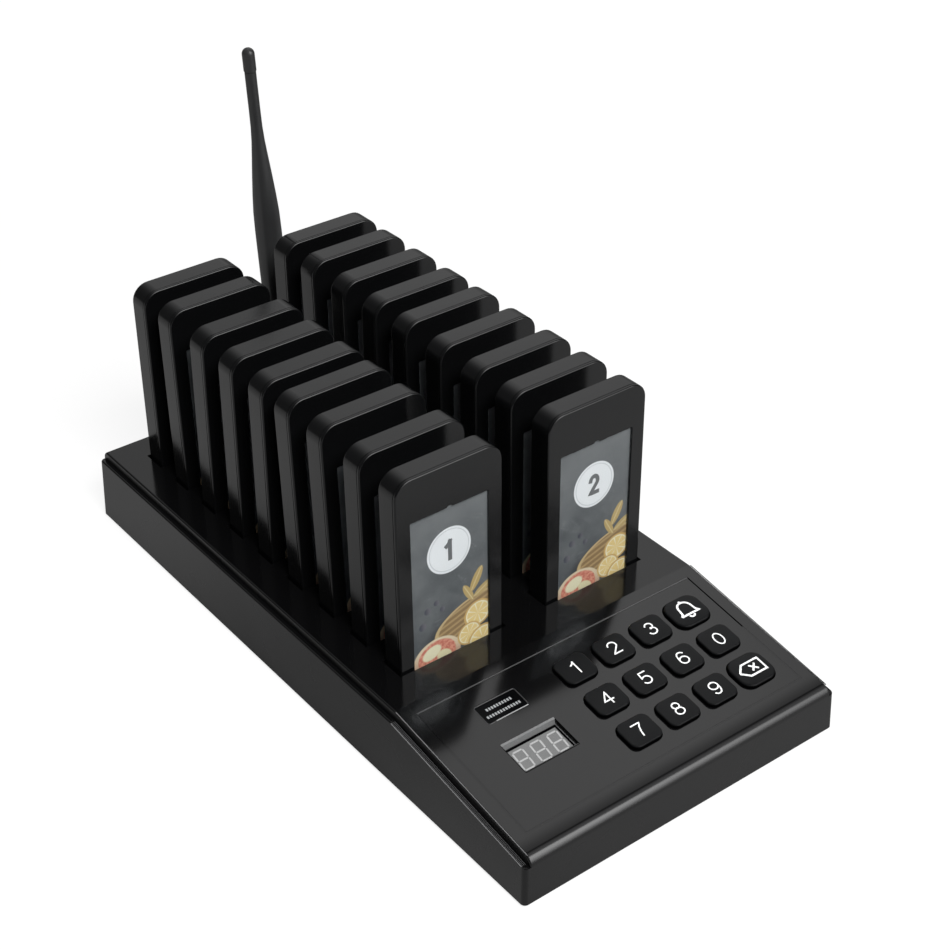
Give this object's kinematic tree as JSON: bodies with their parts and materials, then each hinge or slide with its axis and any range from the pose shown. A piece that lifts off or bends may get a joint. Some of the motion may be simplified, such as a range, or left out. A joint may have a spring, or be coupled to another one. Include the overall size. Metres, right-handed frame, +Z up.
{
  "type": "guest pager charging base",
  "caption": "Long black table-top charging base with a sloped number keypad and small display, two columns of upright card-window pagers and a folding rear antenna.",
  "frame": {"origin": "centre of the base's footprint on the table top, under the rubber feet", "axes": "+Z up; -Y towards the person at the keypad; +X to that person's right, across the two columns of pagers"},
  "size_m": [0.1534, 0.3247, 0.1929],
  "materials": {
    "housing_plastic": "glossy black moulded shell",
    "plate_plastic": "fine matt black",
    "screw_steel": "zinc plated",
    "foot_rubber": "matt black",
    "board_green": "solder-resist green board",
    "contact_metal": "gold flashed spring leaves",
    "key_rubber": "matt dark grey silicone, pale numerals",
    "mat_rubber": "matt",
    "display_face": "grey face with pale unlit segments",
    "badge_face": "bare glossy black plate",
    "connector_metal": "gold plated",
    "antenna_plastic": "satin black",
    "pin_steel": "turned",
    "inlet_plastic": "black with a metal pin",
    "pager_plastic": "glossy black shells",
    "card_paper": "slate card with a white disc",
    "window_clear": "clear plastic sheet",
    "battery_wrap": "foil pouch"
  },
  "bodies": {
    "base": {"housing": "housing_plastic", "base_plate": "plate_plastic", "housing_screws": "screw_steel", "rubber_feet": "foot_rubber", "charging_boards": "board_green", "charge_contacts": "contact_metal", "main_board": "board_green", "keypad_mat": "mat_rubber", "display_module": "display_face", "display_board": "board_green", "badge_plate": "badge_face", "antenna_jack": "connector_metal", "antenna_jack_nut": "connector_metal", "antenna_collar": "antenna_plastic", "power_jack": "inlet_plastic", "radio_module": "board_green"},
    "antenna_elbow": {"antenna_elbow": "antenna_plastic", "antenna_hinge_pin": "pin_steel"},
    "antenna_mast": {"antenna_mast": "antenna_plastic"},
    "key_1": {"key_1": "key_rubber"},
    "key_2": {"key_2": "key_rubber"},
    "key_3": {"key_3": "key_rubber"},
    "key_4": {"key_4": "key_rubber"},
    "key_5": {"key_5": "key_rubber"},
    "key_6": {"key_6": "key_rubber"},
    "key_0": {"key_0": "key_rubber"},
    "key_7": {"key_7": "key_rubber"},
    "key_8": {"key_8": "key_rubber"},
    "key_9": {"key_9": "key_rubber"},
    "key_call": {"key_call": "key_rubber"},
    "key_delete": {"key_delete": "key_rubber"},
    "pager_1": {"pager_1_front_cover": "pager_plastic", "pager_1_rear_cover": "pager_plastic", "pager_1_window": "window_clear", "pager_1_card": "card_paper", "pager_1_circuit_board": "board_green", "pager_1_battery": "battery_wrap"},
    "pager_2": {"pager_2_front_cover": "pager_plastic", "pager_2_rear_cover": "pager_plastic", "pager_2_window": "window_clear", "pager_2_card": "card_paper", "pager_2_circuit_board": "board_green", "pager_2_battery": "battery_wrap"},
    "pager_3": {"pager_3": "pager_plastic"},
    "pager_4": {"pager_4": "pager_plastic"},
    "pager_5": {"pager_5": "pager_plastic"},
    "pager_6": {"pager_6": "pager_plastic"},
    "pager_7": {"pager_7": "pager_plastic"},
    "pager_8": {"pager_8": "pager_plastic"},
    "pager_9": {"pager_9": "pager_plastic"},
    "pager_10": {"pager_10": "pager_plastic"},
    "pager_11": {"pager_11": "pager_plastic"},
    "pager_12": {"pager_12": "pager_plastic"},
    "pager_13": {"pager_13": "pager_plastic"},
    "pager_14": {"pager_14": "pager_plastic"},
    "pager_15": {"pager_15": "pager_plastic"},
    "pager_16": {"pager_16": "pager_plastic"},
    "pager_17": {"pager_17": "pager_plastic"},
    "pager_18": {"pager_18": "pager_plastic"}
  },
  "joints": [
    {"name": "antenna_swivel", "type": "hinge", "parent": "base", "child": "antenna_elbow", "pos_m": [0.0328, 0.15084, 0.017], "axis": [0, 1, 0], "range_deg": [-85, 85]},
    {"name": "antenna_tilt", "type": "hinge", "parent": "antenna_elbow", "child": "antenna_mast", "pos_m": [0.0328, 0.16724, 0.017], "axis": [-0.999, 0, -0.0436], "range_deg": [0, 90]},
    {"name": "key_1_press", "type": "slide", "parent": "base", "child": "key_1", "axis": [0, 0.1495, -0.9888], "range_m": [0, 0.0012], "stiffness_N_per_m": 300, "springref_m": -0.001},
    {"name": "key_2_press", "type": "slide", "parent": "base", "child": "key_2", "axis": [0, 0.1495, -0.9888], "range_m": [0, 0.0012], "stiffness_N_per_m": 300, "springref_m": -0.001},
    {"name": "key_3_press", "type": "slide", "parent": "base", "child": "key_3", "axis": [0, 0.1495, -0.9888], "range_m": [0, 0.0012], "stiffness_N_per_m": 300, "springref_m": -0.001},
    {"name": "key_4_press", "type": "slide", "parent": "base", "child": "key_4", "axis": [0, 0.1495, -0.9888], "range_m": [0, 0.0012], "stiffness_N_per_m": 300, "springref_m": -0.001},
    {"name": "key_5_press", "type": "slide", "parent": "base", "child": "key_5", "axis": [0, 0.1495, -0.9888], "range_m": [0, 0.0012], "stiffness_N_per_m": 300, "springref_m": -0.001},
    {"name": "key_6_press", "type": "slide", "parent": "base", "child": "key_6", "axis": [0, 0.1495, -0.9888], "range_m": [0, 0.0012], "stiffness_N_per_m": 300, "springref_m": -0.001},
    {"name": "key_0_press", "type": "slide", "parent": "base", "child": "key_0", "axis": [0, 0.1495, -0.9888], "range_m": [0, 0.0012], "stiffness_N_per_m": 300, "springref_m": -0.001},
    {"name": "key_7_press", "type": "slide", "parent": "base", "child": "key_7", "axis": [0, 0.1495, -0.9888], "range_m": [0, 0.0012], "stiffness_N_per_m": 300, "springref_m": -0.001},
    {"name": "key_8_press", "type": "slide", "parent": "base", "child": "key_8", "axis": [0, 0.1495, -0.9888], "range_m": [0, 0.0012], "stiffness_N_per_m": 300, "springref_m": -0.001},
    {"name": "key_9_press", "type": "slide", "parent": "base", "child": "key_9", "axis": [0, 0.1495, -0.9888], "range_m": [0, 0.0012], "stiffness_N_per_m": 300, "springref_m": -0.001},
    {"name": "key_call_press", "type": "slide", "parent": "base", "child": "key_call", "axis": [0, 0.1495, -0.9888], "range_m": [0, 0.0012], "stiffness_N_per_m": 300, "springref_m": -0.001},
    {"name": "key_delete_press", "type": "slide", "parent": "base", "child": "key_delete", "axis": [0, 0.1495, -0.9888], "range_m": [0, 0.0012], "stiffness_N_per_m": 300, "springref_m": -0.001},
    {"name": "pager_1_lift", "type": "slide", "parent": "base", "child": "pager_1", "axis": [0, 0.0087, 1], "range_m": [0, 0.11]},
    {"name": "pager_2_lift", "type": "slide", "parent": "base", "child": "pager_2", "axis": [0, 0.0052, 1], "range_m": [0, 0.11]},
    {"name": "pager_3_lift", "type": "slide", "parent": "base", "child": "pager_3", "axis": [0, 0.007, 1], "range_m": [0, 0.11]},
    {"name": "pager_4_lift", "type": "slide", "parent": "base", "child": "pager_4", "axis": [0, 0.0052, 1], "range_m": [0, 0.11]},
    {"name": "pager_5_lift", "type": "slide", "parent": "base", "child": "pager_5", "axis": [0, 0.0314, 0.9995], "range_m": [0, 0.11]},
    {"name": "pager_6_lift", "type": "slide", "parent": "base", "child": "pager_6", "axis": [0, 0, 1], "range_m": [0, 0.11]},
    {"name": "pager_7_lift", "type": "slide", "parent": "base", "child": "pager_7", "axis": [0, 0.0279, 0.9996], "range_m": [0, 0.11]},
    {"name": "pager_8_lift", "type": "slide", "parent": "base", "child": "pager_8", "axis": [0, 0.0035, 1], "range_m": [0, 0.11]},
    {"name": "pager_9_lift", "type": "slide", "parent": "base", "child": "pager_9", "axis": [0, -0.0209, 0.9998], "range_m": [0, 0.11]},
    {"name": "pager_10_lift", "type": "slide", "parent": "base", "child": "pager_10", "axis": [0, 0.0175, 0.9998], "range_m": [0, 0.11]},
    {"name": "pager_11_lift", "type": "slide", "parent": "base", "child": "pager_11", "axis": [0, -0.0262, 0.9997], "range_m": [0, 0.11]},
    {"name": "pager_12_lift", "type": "slide", "parent": "base", "child": "pager_12", "axis": [0, 0, 1], "range_m": [0, 0.11]},
    {"name": "pager_13_lift", "type": "slide", "parent": "base", "child": "pager_13", "axis": [0, -0.0314, 0.9995], "range_m": [0, 0.11]},
    {"name": "pager_14_lift", "type": "slide", "parent": "base", "child": "pager_14", "axis": [0, 0.0035, 1], "range_m": [0, 0.11]},
    {"name": "pager_15_lift", "type": "slide", "parent": "base", "child": "pager_15", "axis": [0, 0.0087, 1], "range_m": [0, 0.11]},
    {"name": "pager_16_lift", "type": "slide", "parent": "base", "child": "pager_16", "axis": [0, 0.014, 0.9999], "range_m": [0, 0.11]},
    {"name": "pager_17_lift", "type": "slide", "parent": "base", "child": "pager_17", "axis": [0, -0.0087, 1], "range_m": [0, 0.11]},
    {"name": "pager_18_lift", "type": "slide", "parent": "base", "child": "pager_18", "axis": [0, 0, 1], "range_m": [0, 0.11]}
  ]
}
